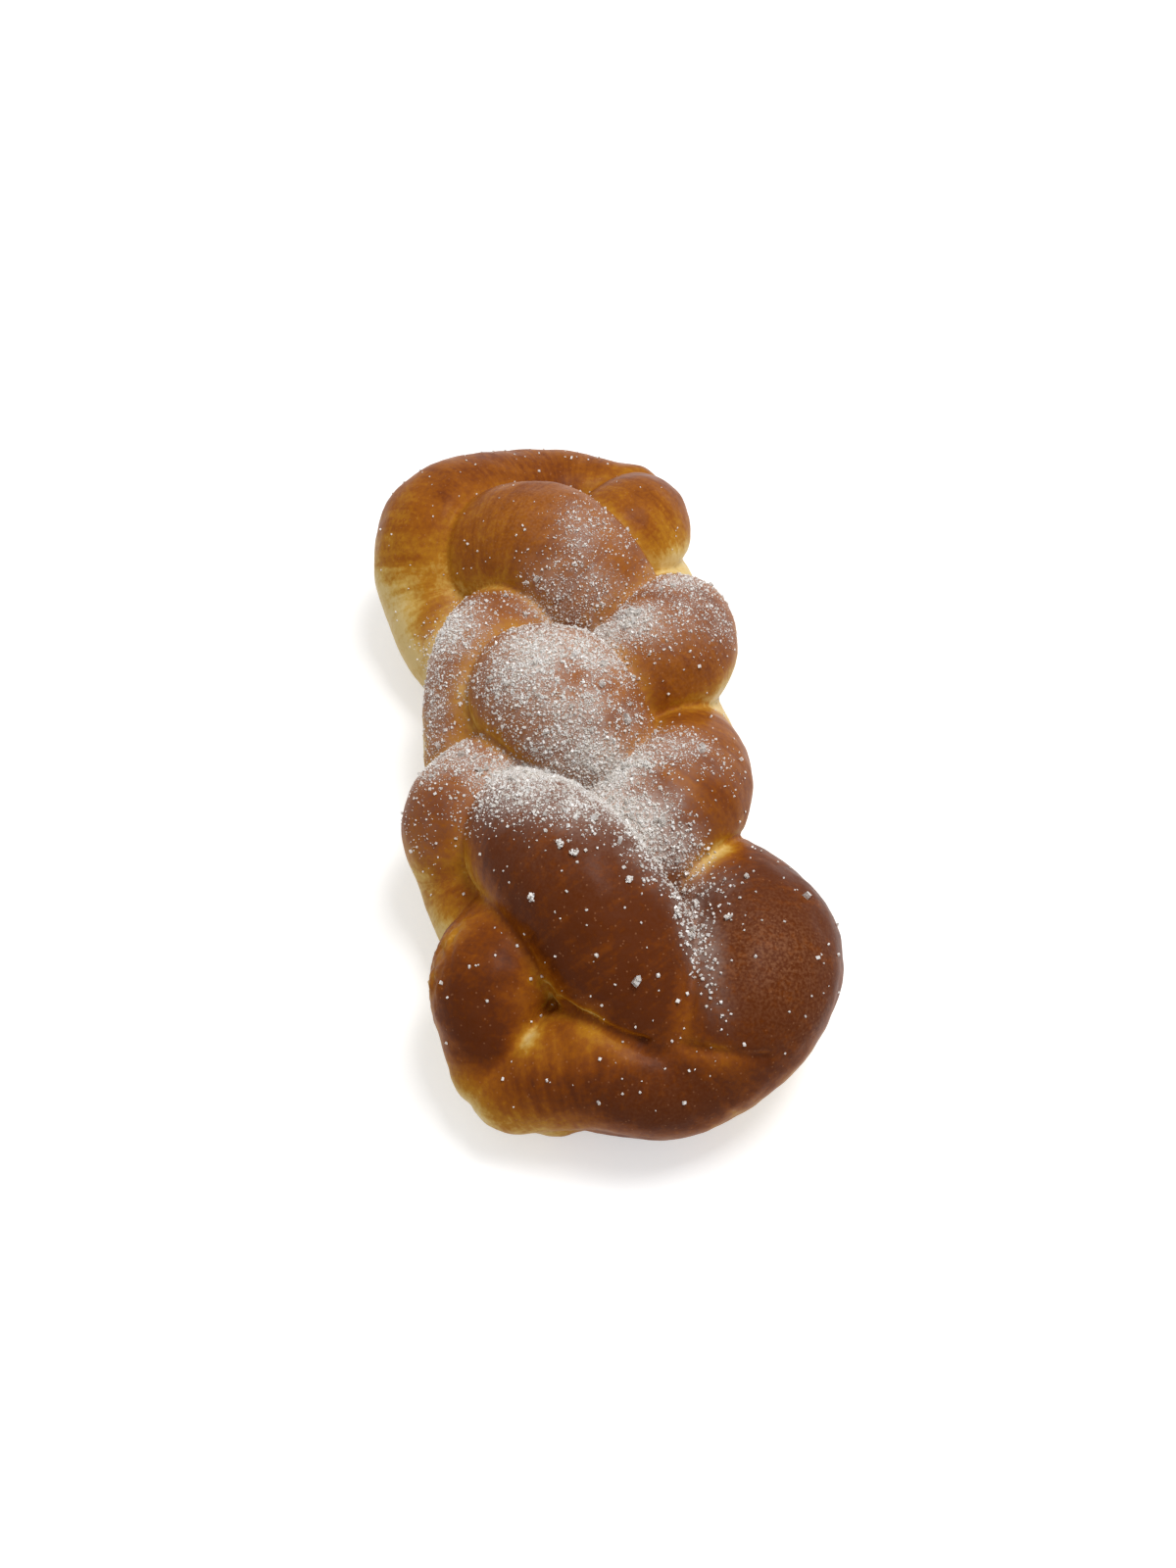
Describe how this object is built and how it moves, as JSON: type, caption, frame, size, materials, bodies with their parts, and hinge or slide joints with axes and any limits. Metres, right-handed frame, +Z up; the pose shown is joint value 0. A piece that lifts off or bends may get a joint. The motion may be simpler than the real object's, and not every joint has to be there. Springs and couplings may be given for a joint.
{
  "type": "braided loaf",
  "caption": "Small braided sweet loaf, plaited flat from strands of enriched dough, egg-washed, sugar-dusted and baked brown, with a flat baked base.",
  "frame": {"origin": "middle of the flat baked base, under the middle of the loaf's bounding box", "axes": "+Z up from the base, +Y along the loaf to its broad far end, +X across it; the near end, where the last strand is folded across, is at -Y"},
  "size_m": [0.1018, 0.2148, 0.0567],
  "materials": {
    "crust": "egg-washed, softly glossy baked bread crust"
  },
  "bodies": {
    "root": {"loaf": "crust"}
  },
  "joints": []
}
